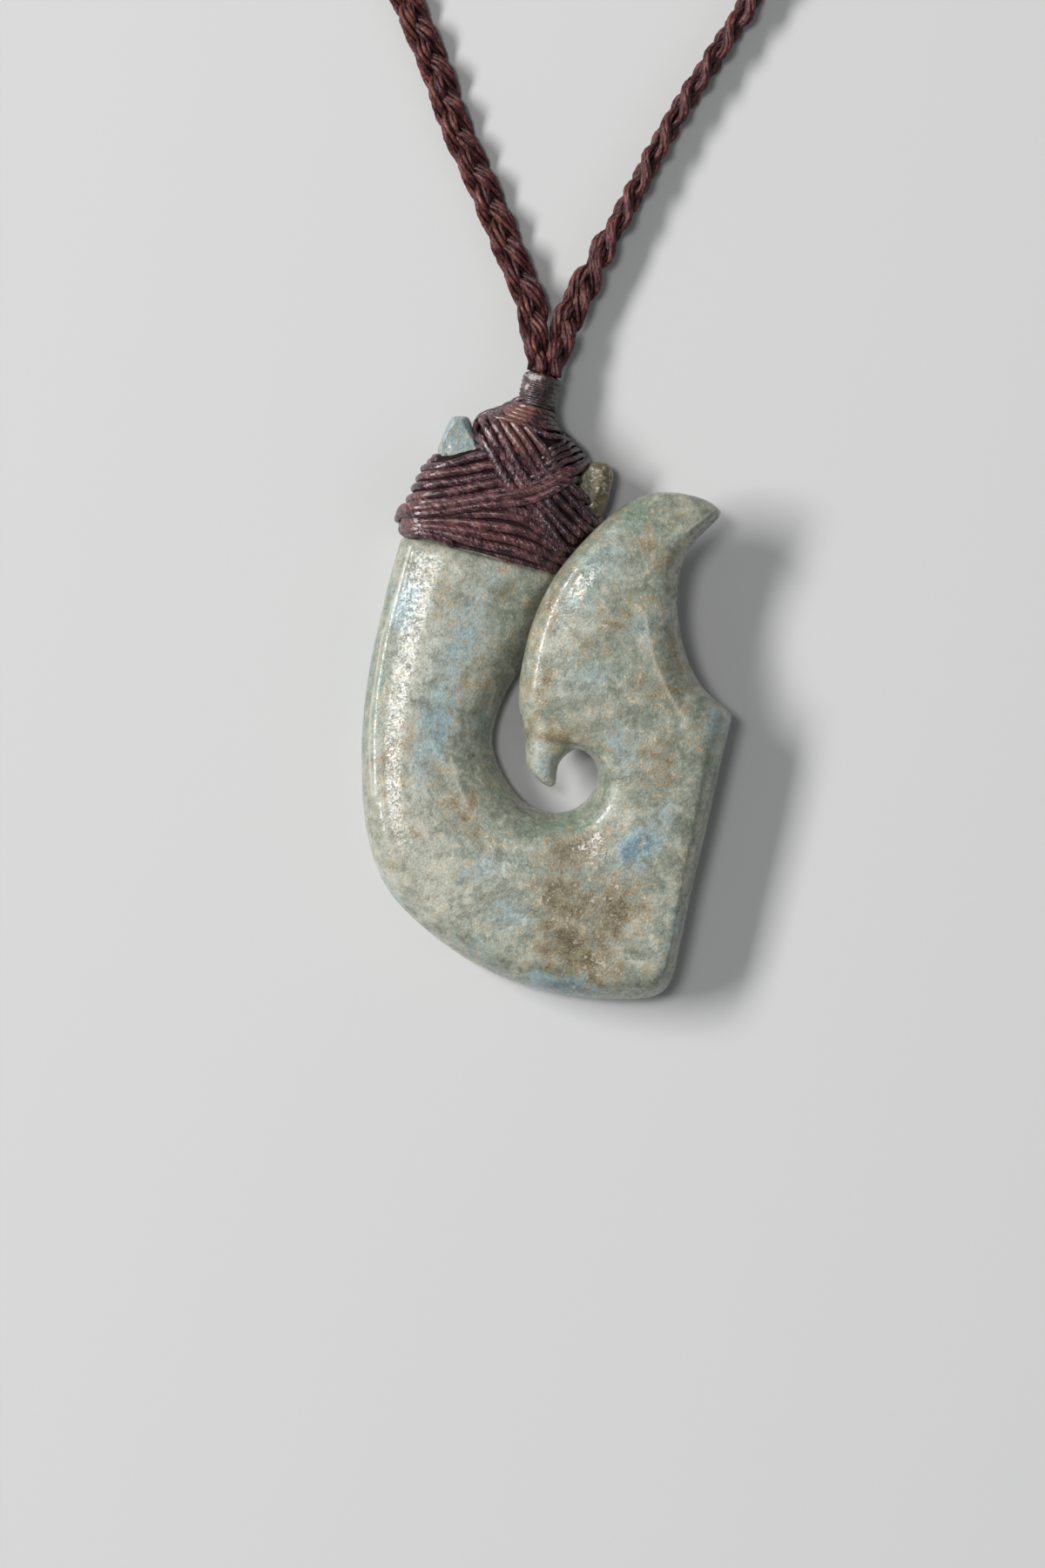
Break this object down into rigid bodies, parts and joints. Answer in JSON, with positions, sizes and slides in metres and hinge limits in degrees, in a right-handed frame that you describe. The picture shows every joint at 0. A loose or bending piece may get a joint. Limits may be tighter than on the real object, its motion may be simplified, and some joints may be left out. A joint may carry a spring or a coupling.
{
  "type": "hei matau pendant, a carved stone fish hook on a plaited cord loop",
  "caption": "Hei matau: a polished mottled stone fish-hook pendant, lashed at its head with dark red thread to a plaited red-brown cord loop, lying on its flat back.",
  "frame": {"origin": "a point on the stone's flat back, in the broad part of the hook below its hole, which is also the level that the pendant lies on", "axes": "+X from the shank towards the point of the hook, +Y up the shank towards the cord, +Z out of the domed front"},
  "size_m": [0.1517, 0.3127, 0.0099],
  "materials": {
    "stone": "polished mottled stone, cream and grey-green with tan speckle and pale blue veils",
    "lashing_thread": "dark red waxed thread, satin",
    "whipping_thread": "near-black waxed thread, glossy",
    "braid_cord": "red-brown plaited yarn, matt"
  },
  "bodies": {
    "root": {"stone_hook": "stone", "head_lashing": "lashing_thread", "neck_whipping": "whipping_thread", "braid_left": "braid_cord", "braid_right": "braid_cord", "back_join": "whipping_thread"}
  },
  "joints": []
}
